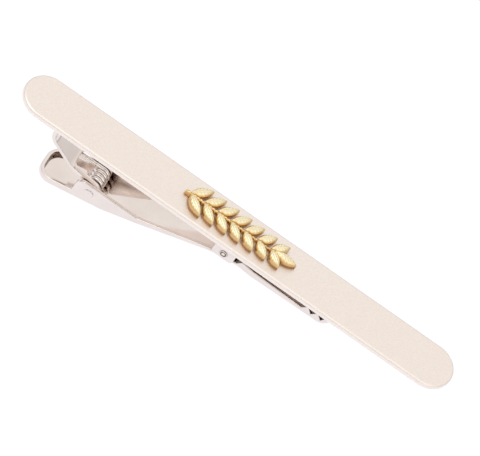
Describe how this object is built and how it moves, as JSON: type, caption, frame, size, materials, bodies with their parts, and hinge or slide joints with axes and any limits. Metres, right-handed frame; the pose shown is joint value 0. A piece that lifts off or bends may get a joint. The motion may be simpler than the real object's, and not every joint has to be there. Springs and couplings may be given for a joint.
{
  "type": "tie clip",
  "caption": "Spring-loaded tie clip: flat round-ended bar with a raised leaf spray, and behind it a hinged lever with thumb dish and toothed jaw, held shut by a sprung strut.",
  "frame": {"origin": "under the middle of the bar, level with the lowest point of the thumb dish", "axes": "+X along the bar towards the jaw, +Z out of the bar's front, +Y across the bar"},
  "size_m": [0.058, 0.006, 0.0111],
  "materials": {
    "satin_nickel": "pearl-like satin nickel plating on a stamped bar",
    "polished_nickel": "polished nickel plating on pressed sheet",
    "gold_plate": "warm gold plating on a struck ornament",
    "spring_steel": "bright drawn wire"
  },
  "bodies": {
    "bar": {"front_bar": "satin_nickel", "leaf_spray": "gold_plate", "hinge_bracket": "polished_nickel", "hinge_pin": "polished_nickel"},
    "lever": {"lever": "polished_nickel", "strut_pin": "polished_nickel", "torsion_spring": "spring_steel"},
    "strut": {"strut": "polished_nickel"}
  },
  "joints": [
    {"name": "lever_pivot", "type": "hinge", "parent": "bar", "child": "lever", "pos_m": [0, 0, 0.00844], "axis": [0, 1, 0], "range_deg": [0, 12], "stiffness_Nm_per_rad": 0.004, "springref_deg": -14.32},
    {"name": "strut_fold", "type": "hinge", "parent": "lever", "child": "strut", "pos_m": [-0.01615, 0, 0.00323], "axis": [0, 1, 0], "range_deg": [-42.14, 0], "deforming": ["torsion_spring"]}
  ],
  "couplings": [
    {"joint": "strut_fold", "follows": "lever_pivot", "ratio": -3.47}
  ]
}
